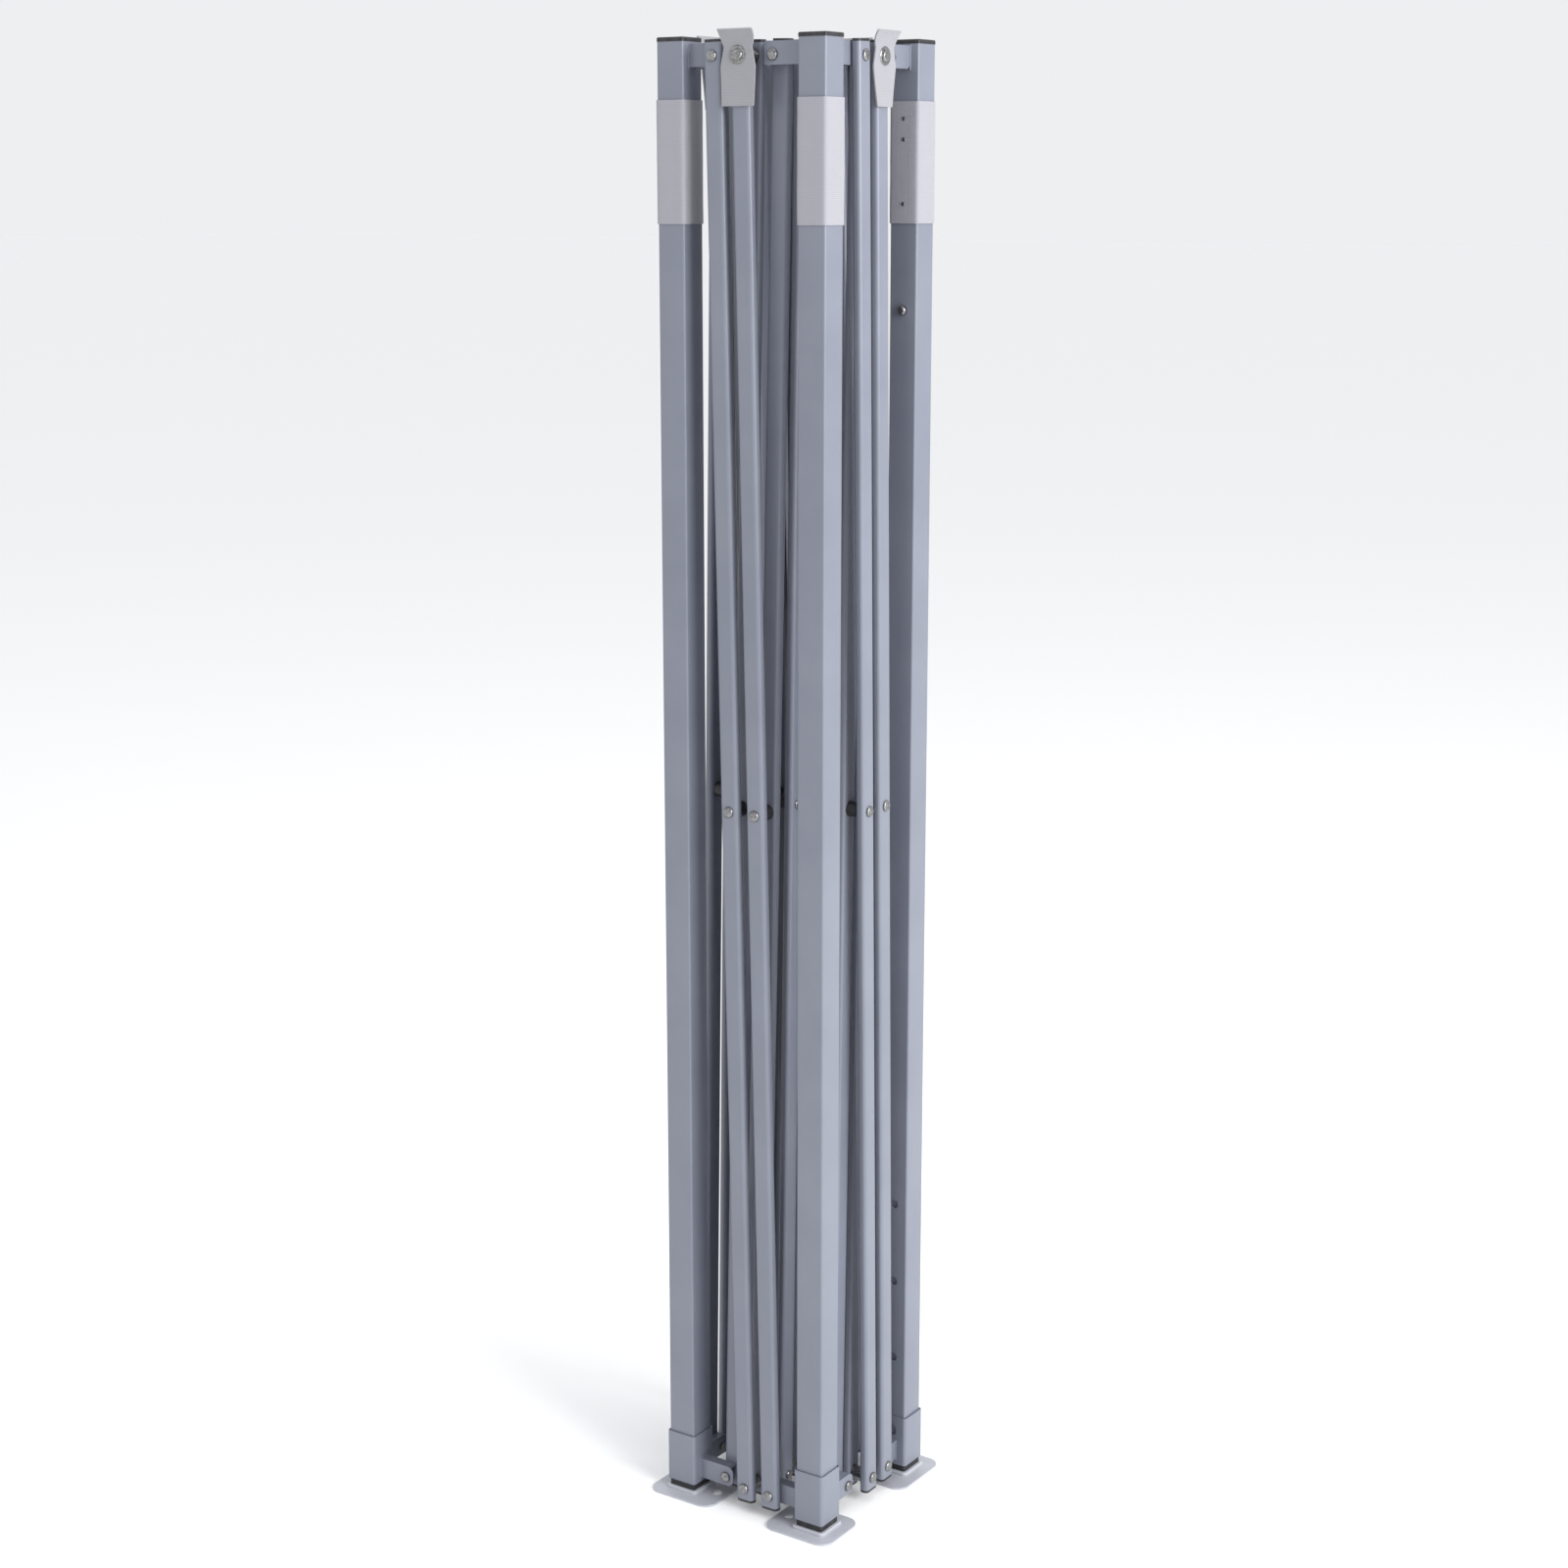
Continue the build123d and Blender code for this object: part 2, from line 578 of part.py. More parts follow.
# ---------------------------------------------------------------- build every node
os.makedirs("parts", exist_ok=True)
leg_face = LEG_SIDE / 2
leg_bore_face = leg_face - LEG_WALL
inner_bore_face = INNER_LEG_SIDE / 2 - INNER_LEG_WALL
lug_face = LUG_THICKNESS / 2
bar_inner_face = BAR_GAP / 2
spacer_face = bar_inner_face - SIDE_PLAY
tab_face = bar_outer_face + SIDE_PLAY + TAB_THICKNESS + SEAT_GAP
ear_far_face = cross_centre + BAR_THICKNESS / 2
cross_spacer_face = ear_outer + EAR_GAP - SIDE_PLAY

for corner in range(SIDES):
    number = corner + 1
    save(f"outer_leg_{number}", outer_leg(corner), leg_cap(corner), leg_bush(corner))
    height_pin = wall_pin(
        corner, height_pin_z, HEIGHT_PIN_RADIUS, inner_bore_face, leg_bore_face - SLIP, LEG_WALL / 2
    )
    save(f"inner_leg_{number}", foot_plate(corner), inner_tube(corner), height_pin)
    save(f"slider_{number}", slider(corner))
    lock_button = wall_pin(
        corner,
        lock_button_z,
        LOCK_BUTTON_RADIUS,
        leg_bore_face,
        leg_face + LOCK_BUTTON_REACH,
        LOCK_BUTTON_DOME,
    )
    save(f"lock_button_{number}", lock_button)
    save(f"hook_band_{number}", hook_band(corner))

for side in range(SIDES):
    number = side + 1
    plane = side_plane(side)
    top_left, top_middle, top_right = ((u, top_pivot_z) for u in (-fold_step, 0, fold_step))
    low_left, low_middle, low_right = ((u, BOTTOM_PIVOT_Z) for u in (-fold_step, 0, fold_step))
    left_cross = (-fold_step / 2, middle_z)
    right_cross = (fold_step / 2, middle_z)
    save_bar(
        f"side_{number}_outer_bar_a", plane, low_middle, top_left, bar_centre,
        rivet(plane, top_left, -lug_face - SIDE_PLAY, bar_outer_face),
        rivet(plane, left_cross, -bar_outer_face - SIDE_PLAY, bar_outer_face),
        spacer(plane, left_cross, -spacer_face, spacer_face, SPACER_RADIUS),
    )
    save_bar(
        f"side_{number}_inner_bar_a", plane, low_left, top_middle, -bar_centre,
        rivet(plane, low_left, -bar_outer_face, lug_face + SIDE_PLAY),
    )
    save_bar(
        f"side_{number}_outer_bar_b", plane, low_right, top_middle, bar_centre,
        rivet(plane, low_right, -lug_face - SIDE_PLAY, bar_outer_face),
        rivet(plane, right_cross, -bar_outer_face - SIDE_PLAY, bar_outer_face),
        spacer(plane, right_cross, -spacer_face, spacer_face, SPACER_RADIUS),
    )
    save_bar(
        f"side_{number}_inner_bar_b", plane, low_middle, top_right, -bar_centre,
        rivet(plane, top_right, -bar_outer_face, lug_face + SIDE_PLAY),
    )
    save(f"roof_tab_{number}", roof_tab(side))

    for name, pivot_z, ear_side, head_face in (
        ("top", top_pivot_z, 1, tab_face),
        ("bottom", BOTTOM_PIVOT_Z, -1, bar_outer_face + SIDE_PLAY),
    ):
        save(
            f"{name}_bracket_{number}",
            bracket(side, pivot_z, ear_side),
            middle_bolt(side, pivot_z, head_face),
            spacer(plane, (0, pivot_z), -spacer_face, spacer_face, SPACER_RADIUS),
        )

    cross = cross_plane(side)
    cross_middle = ((hub_reach + clevis_reach) / 2, middle_z)
    save_bar(
        f"cross_{number}_upper_bar", cross,
        (clevis_reach, BOTTOM_PIVOT_Z), (hub_reach, top_pivot_z), -cross_centre,
        rivet(cross, (hub_reach, top_pivot_z), -ear_far_face, -ear_inner + SIDE_PLAY),
        rivet(cross, (clevis_reach, BOTTOM_PIVOT_Z), -ear_far_face, -ear_inner + SIDE_PLAY),
        rivet(cross, cross_middle, -ear_far_face, ear_far_face + SIDE_PLAY),
        spacer(cross, cross_middle, -cross_spacer_face, cross_spacer_face, CROSS_SPACER_RADIUS),
    )
    save_bar(
        f"cross_{number}_lower_bar", cross,
        (hub_reach, BOTTOM_PIVOT_Z), (clevis_reach, top_pivot_z), cross_centre,
        rivet(cross, (hub_reach, BOTTOM_PIVOT_Z), ear_inner - SIDE_PLAY, ear_far_face),
        rivet(cross, (clevis_reach, top_pivot_z), ear_inner - SIDE_PLAY, ear_far_face),
    )

save("upper_hub", hub(top_pivot_z, -1, MAST_RADIUS + MAST_SLIP))
save("lower_hub", hub(BOTTOM_PIVOT_Z, 1, MAST_RADIUS + SEAT_GAP))
save("mast", mast())
save("mast_cap", mast_cap())
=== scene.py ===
"""Looks of the folding frame of a pop up canopy, built round its packed metal parts.

The tubes, lugs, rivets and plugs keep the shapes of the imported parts: each group is taken
apart into its separate pieces, so that paint, zinc and plastic each get their own finish.
The hook-and-loop bands, the roof tabs, the washers and the welds are built here.
"""

import logging
import math
from dataclasses import dataclass, field
from enum import Enum
from typing import Callable

import bmesh
import bpy
from mathutils import Matrix, Vector, noise


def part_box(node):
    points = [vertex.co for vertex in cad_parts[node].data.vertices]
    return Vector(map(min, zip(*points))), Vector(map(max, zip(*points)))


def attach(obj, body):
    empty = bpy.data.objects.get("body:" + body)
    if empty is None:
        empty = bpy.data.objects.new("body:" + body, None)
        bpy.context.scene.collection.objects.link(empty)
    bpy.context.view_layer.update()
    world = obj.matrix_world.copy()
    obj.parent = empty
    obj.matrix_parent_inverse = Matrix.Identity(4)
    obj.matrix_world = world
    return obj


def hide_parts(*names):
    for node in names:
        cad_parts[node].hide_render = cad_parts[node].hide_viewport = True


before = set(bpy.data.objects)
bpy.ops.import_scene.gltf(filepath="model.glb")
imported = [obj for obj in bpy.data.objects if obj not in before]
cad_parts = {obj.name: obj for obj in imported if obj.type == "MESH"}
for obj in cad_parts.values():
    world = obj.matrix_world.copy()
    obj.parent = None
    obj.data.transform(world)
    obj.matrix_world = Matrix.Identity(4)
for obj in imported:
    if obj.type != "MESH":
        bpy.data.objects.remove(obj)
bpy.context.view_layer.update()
LOG = logging.getLogger("canopy_frame")

SIDES = 4
MERGE = 0.000002
FLAT_ANGLE = math.radians(0.4)
SHARP_ANGLE = math.radians(28.0)
ROUNDED_ANGLE = math.radians(50.0)
NOISE_RANGE = (0.25, 0.75)
FRAME_MIDDLE = Vector((0.0, 0.0, 0.75))

Colour = tuple[float, float, float]


class Slot(Enum):
    """The record's material slots."""

    PAINT = "frame_paint"
    FOOT = "foot_steel"
    ZINC = "zinc"
    PLASTIC = "plastic"
    WEBBING = "webbing"


# ---------------------------------------------------------------- finishes
class NodeBench:
    """A new material with short calls for adding and joining its shader nodes."""

    def __init__(self, name: str) -> None:
        """Make the material, its surface shader and its Object coordinates.

        Args:
            name: the material's name.
        """
        self.material = bpy.data.materials.new(name)
        self.material.use_nodes = True
        self.tree = self.material.node_tree
        self.shader = self.tree.nodes["Principled BSDF"]
        self.place = self.tree.nodes.new("ShaderNodeTexCoord").outputs["Object"]

    def noise(self, scale: float, detail: float, rough: float = 0.5) -> bpy.types.NodeSocket:
        """Add a noise pattern.

        Args:
            scale: cells per metre.
            detail: layers of finer noise.
            rough: how strong the finer layers are.

        Returns:
            The pattern's factor.
        """
        node = self.tree.nodes.new("ShaderNodeTexNoise")
        node.inputs["Scale"].default_value = scale
        node.inputs["Detail"].default_value = detail
        node.inputs["Roughness"].default_value = rough
        self.tree.links.new(self.place, node.inputs["Vector"])
        return node.outputs["Fac"]

    def ramp(
        self, source: bpy.types.NodeSocket, low: float, high: float, first: Colour, second: Colour
    ) -> bpy.types.NodeSocket:
        """Turn a factor into a colour.

        Args:
            source: the factor.
            low: the factor at and below which the first colour shows.
            high: the factor at and above which the second colour shows.
            first: linear colour.
            second: linear colour.

        Returns:
            The colour socket.
        """
        node = self.tree.nodes.new("ShaderNodeValToRGB")
        node.color_ramp.elements[0].position = low
        node.color_ramp.elements[1].position = high
        node.color_ramp.elements[0].color = (*first, 1.0)
        node.color_ramp.elements[1].color = (*second, 1.0)
        self.tree.links.new(source, node.inputs["Fac"])
        return node.outputs["Color"]

    def mix(
        self, share: bpy.types.NodeSocket, a: bpy.types.NodeSocket, b: bpy.types.NodeSocket
    ) -> bpy.types.NodeSocket:
        """Mix two colours.

        Args:
            share: how much of the second colour shows.
            a: the first colour.
            b: the second colour.

        Returns:
            The mixed colour.
        """
        node = self.tree.nodes.new("ShaderNodeMix")
        node.data_type = "RGBA"
        self.tree.links.new(share, node.inputs["Factor"])
        colours = [socket for socket in node.inputs if socket.type == "RGBA"]
        self.tree.links.new(a, colours[0])
        self.tree.links.new(b, colours[1])
        return next(socket for socket in node.outputs if socket.type == "RGBA")

    def spread(self, source: bpy.types.NodeSocket, low: float, high: float, to: str) -> None:
        """Map a noise pattern's usual range onto two values and send it to a shader input.

        Args:
            source: the pattern's factor.
            low: the value at the pattern's low end.
            high: the value at its high end.
            to: the shader input's name.
        """
        node = self.tree.nodes.new("ShaderNodeMapRange")
        node.inputs["From Min"].default_value = NOISE_RANGE[0]
        node.inputs["From Max"].default_value = NOISE_RANGE[1]
        node.inputs["To Min"].default_value = low
        node.inputs["To Max"].default_value = high
        self.tree.links.new(source, node.inputs["Value"])
        self.tree.links.new(node.outputs["Result"], self.shader.inputs[to])

    def bump(self, source: bpy.types.NodeSocket, depth: float, strength: float) -> None:
        """Raise the surface by a factor; a second call is laid over the first.

        Args:
            source: the factor.
            depth: the height in metres that a factor of 1 stands for.
            strength: how much of the bump shows.
        """
        node = self.tree.nodes.new("ShaderNodeBump")
        node.inputs["Distance"].default_value = depth
        node.inputs["Strength"].default_value = strength
        self.tree.links.new(source, node.inputs["Height"])
        normal = self.shader.inputs["Normal"]
        if normal.is_linked:
            self.tree.links.new(normal.links[0].from_socket, node.inputs["Normal"])
        self.tree.links.new(node.outputs["Normal"], normal)

    def colour(self, source: bpy.types.NodeSocket) -> None:
        """Send a colour to the surface shader."""
        self.tree.links.new(source, self.shader.inputs["Base Color"])


@dataclass(frozen=True)
class PowderCoat:
    """Baked blue-grey powder paint on steel: fine orange peel, faint rubs and dust."""

    name: str = "powder_coat"
    colour: Colour = (0.188, 0.202, 0.248)
    deep: Colour = (0.168, 0.181, 0.226)
    rub: Colour = (0.28, 0.30, 0.345)
    rub_cover: Colour = (0.55, 0.55, 0.55)
    roughness: tuple[float, float] = (0.30, 0.42)
    cloud_scale: float = 9.0
    rub_scale: float = 160.0
    peel_scale: float = 900.0
    peel_depth: float = 0.00012
    coat: float = 0.18
    coat_roughness: float = 0.22

    def build(self) -> bpy.types.Material:
        """Make the material's nodes.

        Returns:
            The finished material.
        """
        bench = NodeBench(self.name)
        peel = bench.noise(self.peel_scale, 2.0)
        cloud = bench.noise(self.cloud_scale, 4.0, 0.6)
        tone = bench.ramp(cloud, 0.35, 0.65, self.deep, self.colour)
        rubs = bench.noise(self.rub_scale, 6.0, 0.75)
        mask = bench.ramp(rubs, 0.66, 0.74, (0.0, 0.0, 0.0), self.rub_cover)
        pale = bench.ramp(cloud, 0.0, 1.0, self.rub, self.rub)
        bench.colour(bench.mix(mask, tone, pale))
        bench.spread(cloud, *self.roughness, "Roughness")
        bench.bump(peel, self.peel_depth, 0.35)
        bench.shader.inputs["Coat Weight"].default_value = self.coat
        bench.shader.inputs["Coat Roughness"].default_value = self.coat_roughness
        return bench.material


@dataclass(frozen=True)
class ZincPlate:
    """Bright zinc on rivets, bolts and washers: grey-white metal with a cloudy tarnish."""

    name: str = "zinc_plate"
    bright: Colour = (0.34, 0.34, 0.345)
    dull: Colour = (0.155, 0.151, 0.148)
    roughness: tuple[float, float] = (0.22, 0.46)
    cloud_scale: float = 420.0
    grain_scale: float = 2200.0
    grain_depth: float = 0.00006

    def build(self) -> bpy.types.Material:
        """Make the material's nodes.

        Returns:
            The finished material.
        """
        bench = NodeBench(self.name)
        cloud = bench.noise(self.cloud_scale, 4.0, 0.65)
        bench.colour(bench.ramp(cloud, 0.35, 0.62, self.dull, self.bright))
        bench.spread(cloud, *self.roughness, "Roughness")
        bench.bump(bench.noise(self.grain_scale, 2.0), self.grain_depth, 0.3)
        bench.shader.inputs["Metallic"].default_value = 1.0
        return bench.material


@dataclass(frozen=True)
class MouldedPlastic:
    """Black moulded plastic of caps, plugs and spacers, finely spark-textured."""

    name: str = "moulded_plastic"
    black: Colour = (0.012, 0.012, 0.014)
    dusty: Colour = (0.040, 0.041, 0.045)
    roughness: tuple[float, float] = (0.38, 0.55)
    dust_scale: float = 130.0
    spark_scale: float = 2600.0
    spark_depth: float = 0.00008

    def build(self) -> bpy.types.Material:
        """Make the material's nodes.

        Returns:
            The finished material.
        """
        bench = NodeBench(self.name)
        dust = bench.noise(self.dust_scale, 5.0, 0.7)
        bench.colour(bench.ramp(dust, 0.45, 0.75, self.black, self.dusty))
        bench.spread(dust, *self.roughness, "Roughness")
        bench.bump(bench.noise(self.spark_scale, 2.0), self.spark_depth, 0.4)
        return bench.material


@dataclass(frozen=True)
class Webbing:
    """Pale woven tape: close ribs across it, crossed by warp threads, with a soft nap; its colour
    is painted darker in the low points of the ribs and the nap, as painted shade in their
    hollows, over a random yarn tone.
    """

    name: str
    pale: Colour
    hollow_shade: Colour
    ribs: float = 1100.0
    nap: float = 0.0002
    fuzz_scale: float = 1500.0
    cloud_scale: float = 60.0
    roughness: tuple[float, float] = (0.78, 0.95)
    sheen: float = 0.25
    sheen_roughness: float = 0.5

    def build(self) -> bpy.types.Material:
        """Make the material's nodes.

        Returns:
            The finished material.
        """
        bench = NodeBench(self.name)
        tree = bench.tree
        bands = []
        for direction in ("Z", "X", "Y"):
            wave = tree.nodes.new("ShaderNodeTexWave")
            wave.wave_type = "BANDS"
            wave.bands_direction = direction
            wave.inputs["Scale"].default_value = self.ribs / (2.0 * math.pi)
            wave.inputs["Distortion"].default_value = 1.2
            wave.inputs["Detail"].default_value = 2.0
            tree.links.new(bench.place, wave.inputs["Vector"])
            bands.append(wave.outputs["Fac"])
        fuzz = bench.noise(self.fuzz_scale, 3.0, 0.7)
        cloud = bench.noise(self.cloud_scale, 4.0, 0.6)
        # Painted shade: both tones run from the hollow shade colour at the low points of the nap
        # and the ribs to the pale colour on their crests. They follow the same patterns that
        # raise the bumps below. The nap's tone also varies at random, as yarn tone does.
        napped = bench.ramp(fuzz, 0.3, 0.7, self.hollow_shade, self.pale)
        ribbed = bench.ramp(bands[0], 0.0, 0.6, self.hollow_shade, self.pale)
        bench.colour(bench.mix(cloud, napped, ribbed))
        bench.spread(fuzz, *self.roughness, "Roughness")
        for band in bands:
            bench.bump(band, self.nap * 0.5, 0.35)
        bench.bump(fuzz, self.nap, 0.6)
        bench.shader.inputs["Sheen Weight"].default_value = self.sheen
        bench.shader.inputs["Sheen Roughness"].default_value = self.sheen_roughness
        return bench.material


@dataclass
class Paintbox:
    """Every finish of the frame, made once."""

    paint: bpy.types.Material = field(default_factory=lambda: PowderCoat().build())
    foot: bpy.types.Material = field(
        default_factory=lambda: PowderCoat(
            name="foot_coat",
            colour=(0.45, 0.465, 0.505),
            deep=(0.39, 0.40, 0.445),
            rub=(0.52, 0.53, 0.56),
            roughness=(0.36, 0.52),
        ).build()
    )
    zinc: bpy.types.Material = field(default_factory=lambda: ZincPlate().build())
    plastic: bpy.types.Material = field(default_factory=lambda: MouldedPlastic().build())
    # The second colour of each tape is the painted shade put into its weave's hollows.
    band: bpy.types.Material = field(
        default_factory=lambda: Webbing(
            "loop_band", (0.335, 0.33, 0.365), (0.262, 0.262, 0.29)
        ).build()
    )
    tab: bpy.types.Material = field(
        default_factory=lambda: Webbing(
            "roof_tab_tape", (0.31, 0.31, 0.335), (0.233, 0.233, 0.253), 1500.0, 0.00012
        ).build()
    )


# ---------------------------------------------------------------- mesh helpers
def shade_by_angle(shape: bmesh.types.BMesh) -> None:
    """Shade a mesh smooth, with its hard edges kept sharp.

    Args:
        shape: the mesh.
    """
    for face in shape.faces:
        face.smooth = True
    for edge in shape.edges:
        edge.smooth = edge.calc_face_angle(math.pi) < SHARP_ANGLE


def finished_piece(
    name: str, shape: bmesh.types.BMesh, material: bpy.types.Material, body: str
) -> bpy.types.Object:
    """Turn a bmesh into a piece that rides on a body.

    Args:
        name: the piece's name.
        shape: its mesh, which is used up.
        material: its finish.
        body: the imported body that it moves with.

    Returns:
        The new object.
    """
    mesh = bpy.data.meshes.new(name)
    shape.to_mesh(mesh)
    shape.free()
    piece = bpy.data.objects.new(name, mesh)
    bpy.context.scene.collection.objects.link(piece)
    piece.data.materials.append(material)
    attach(piece, body)
    LOG.info("%s rides on %s", name, body)
    return piece


def around_side(side: int) -> Matrix:
    """Return the turn from side 1, which faces -Y, to the numbered side."""
    return Matrix.Rotation(math.radians(90.0 * (side - 1)), 4, "Z")


# ---------------------------------------------------------------- packed groups
@dataclass
class Shell:
    """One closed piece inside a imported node: where it is and how large."""

    faces: set[int]
    low: Vector
    high: Vector

    @property
    def height(self) -> float:
        """The shell's height."""
        return self.high.z - self.low.z

    @property
    def level(self) -> float:
        """The height of the shell's middle above the floor."""
        return (self.low.z + self.high.z) / 2


@dataclass
class PackedGroup:
    """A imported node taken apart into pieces, each kind with its own finish."""

    node: str
    body: str
    sort: Callable[[Shell], str]
    finishes: dict[str, tuple[bpy.types.Material, Slot]]
    bevel: float = 0.0
    bevelled: tuple[str, ...] = ()

    def merged(self) -> bmesh.types.BMesh:
        """Copy the node's mesh and join its loose triangles.

        Returns:
            The joined copy.
        """
        shape = bmesh.new()
        shape.from_mesh(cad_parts[self.node].data)
        bmesh.ops.remove_doubles(shape, verts=shape.verts, dist=MERGE)
        shape.faces.ensure_lookup_table()
        return shape

    def shells(self, shape: bmesh.types.BMesh) -> list[Shell]:
        """Find the separate shells of a merged mesh.

        Args:
            shape: the merged mesh.

        Returns:
            Its shells. A hollow's inner wall is part of the shell that it joins.
        """
        seen: set[int] = set()
        found: list[Shell] = []
        for start in shape.faces:
            if start.index in seen:
                continue
            seen.add(start.index)
            stack, faces = [start], {start.index}
            low, high = start.verts[0].co.copy(), start.verts[0].co.copy()
            while stack:
                face = stack.pop()
                for vertex in face.verts:
                    low = Vector(map(min, low, vertex.co))
                    high = Vector(map(max, high, vertex.co))
                for edge in face.edges:
                    for other in edge.link_faces:
                        if other.index not in seen:
                            seen.add(other.index)
                            faces.add(other.index)
                            stack.append(other)
            found.append(Shell(faces, low, high))
        return found

    def build(self) -> list[bpy.types.Object]:
        """Make one piece for each kind of shell, and hide the node.

        Returns:
            The new pieces, in the order of their kinds' names.
        """
        shape = self.merged()
        kinds: dict[str, set[int]] = {}
        for shell in self.shells(shape):
            kinds.setdefault(self.sort(shell), set()).update(shell.faces)
        pieces = []
        for kind, faces in sorted(kinds.items()):
            part = self.merged()
            spare = [face for face in part.faces if face.index not in faces]
            bmesh.ops.delete(part, geom=spare, context="FACES")
            bmesh.ops.dissolve_limit(
                part, angle_limit=FLAT_ANGLE, verts=part.verts, edges=part.edges
            )
            shade_by_angle(part)
            material, slot = self.finishes[kind]
            piece = finished_piece(f"{self.node}_{kind}", part, material, self.body)
            if kind in self.bevelled:
                self.round_edges(piece)
            pieces.append(piece)
        shape.free()
        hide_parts(self.node)
        return pieces

    def round_edges(self, piece: bpy.types.Object) -> None:
        """Take the sharpness off a piece's hard edges.

        Args:
            piece: the piece, which gets a live bevel.
        """
        rounding = piece.modifiers.new("rounding", "BEVEL")
        rounding.width = self.bevel
        rounding.segments = 2
        rounding.limit_method = "ANGLE"
        rounding.angle_limit = ROUNDED_ANGLE
        rounding.harden_normals = True


# ---------------------------------------------------------------- side and cross bars
@dataclass
class ScissorBars:
    """The bars of the four side trusses and the four cross trusses."""

    paints: Paintbox
    side_bars: tuple[str, ...] = ("outer_bar_a", "inner_bar_a", "outer_bar_b", "inner_bar_b")
    cross_bars: tuple[str, ...] = ("upper_bar", "lower_bar")
    tube_height: float = 1.0
    plug_reach: float = 0.0045
    hub_lean: float = 0.002
    spacer_height: float = 0.0115

    def sort(self, shell: Shell) -> str:
        """Tell a bar's tube, end plugs, spacer and rivets apart by size and place.

        Args:
            shell: one closed piece of the bar.

        Returns:
            The name of its kind.
        """
        if shell.height > self.tube_height:
            return "tube"
        low_pivot = sum(corner.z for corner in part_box("lower_hub")) / 2 + self.hub_lean
        high_pivot = sum(corner.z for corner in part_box("upper_hub")) / 2 + self.hub_lean
        beyond = max(shell.level - high_pivot, low_pivot - shell.level)
        if beyond > self.plug_reach:
            return "plugs"
        return "spacer" if shell.height > self.spacer_height else "rivets"

    def build(self) -> None:
        """Dress every bar."""
        finishes = {
            "tube": (self.paints.paint, Slot.PAINT),
            "plugs": (self.paints.plastic, Slot.PLASTIC),
            "spacer": (self.paints.plastic, Slot.PLASTIC),
            "rivets": (self.paints.zinc, Slot.ZINC),
        }
        for side in range(1, SIDES + 1):
            names = [f"side_{side}_{bar}" for bar in self.side_bars]
            names += [f"cross_{side}_{bar}" for bar in self.cross_bars]
            for name in names:
                PackedGroup(name, name, self.sort, finishes).build()


# ---------------------------------------------------------------- legs
@dataclass
class Legs:
    """Outer legs with caps and bushes, inner legs with feet, sliders and lock buttons."""

    paints: Paintbox
    tube_height: float = 1.0
    pin_width: float = 0.02
    sleeve_rounding: float = 0.0003

    def sort_outer(self, shell: Shell) -> str:
        """Tell the painted tube from its plastic cap and bush."""
        return "tube" if shell.height > self.tube_height else "ends"

    def sort_inner(self, shell: Shell) -> str:
        """Tell the foot plate, the tube and the height pin apart.

        Args:
            shell: one closed piece of the inner leg.

        Returns:
            The name of its kind.
        """
        if shell.height > self.pin_width:
            return "tube"
        return "foot" if shell.level < self.pin_width else "pin"

    def sort_slider(self, shell: Shell) -> str:
        """A slider is one painted pressing."""
        return "sleeve"

    def sort_button(self, shell: Shell) -> str:
        """A lock button is one turned pin."""
        return "pin"

    def build(self) -> None:
        """Dress the four legs."""
        paint = (self.paints.paint, Slot.PAINT)
        zinc = (self.paints.zinc, Slot.ZINC)
        for leg in range(1, SIDES + 1):
            PackedGroup(
                f"outer_leg_{leg}", f"leg_{leg}", self.sort_outer,
                {"tube": paint, "ends": (self.paints.plastic, Slot.PLASTIC)},
            ).build()
            PackedGroup(
                f"inner_leg_{leg}", f"inner_leg_{leg}", self.sort_inner,
                {"foot": (self.paints.foot, Slot.FOOT), "tube": paint, "pin": zinc},
            ).build()
            PackedGroup(
                f"slider_{leg}", f"slider_{leg}", self.sort_slider, {"sleeve": paint},
                self.sleeve_rounding, ("sleeve",),
            ).build()
            PackedGroup(
                f"lock_button_{leg}", f"lock_button_{leg}", self.sort_button, {"pin": zinc}
            ).build()


# ---------------------------------------------------------------- centre
@dataclass
class Centre:
    """Middle-joint brackets, hubs, mast and mast cap."""

    paints: Paintbox
    spacer_height: float = 0.015
    plate_height: float = 0.019

    def sort_bracket(self, shell: Shell) -> str:
        """Tell the bracket's plate, its plastic spacer and its bolt apart.

        Args:
            shell: one closed piece of the middle joint.

        Returns:
            The name of its kind.
        """
        if shell.height > self.plate_height:
            return "plate"
        return "spacer" if shell.height > self.spacer_height else "bolt"

    def sort_whole(self, shell: Shell) -> str:
        """A node of a single finish."""
        return "body"

    def build(self) -> None:
        """Dress the brackets and everything at the centre."""
        paint = (self.paints.paint, Slot.PAINT)
        zinc = (self.paints.zinc, Slot.ZINC)
        plastic = (self.paints.plastic, Slot.PLASTIC)
        finishes = {"plate": paint, "spacer": plastic, "bolt": zinc}
        for side in range(1, SIDES + 1):
            for level in ("top", "bottom"):
                PackedGroup(
                    f"{level}_bracket_{side}", f"{level}_joint_{side}", self.sort_bracket,
                    finishes,
                ).build()
        for node, body, finish in (
            ("upper_hub", "upper_hub", paint),
            ("lower_hub", "lower_hub", paint),
            ("mast", "lower_hub", paint),
            ("mast_cap", "lower_hub", plastic),
        ):
            PackedGroup(node, body, self.sort_whole, {"body": finish}).build()


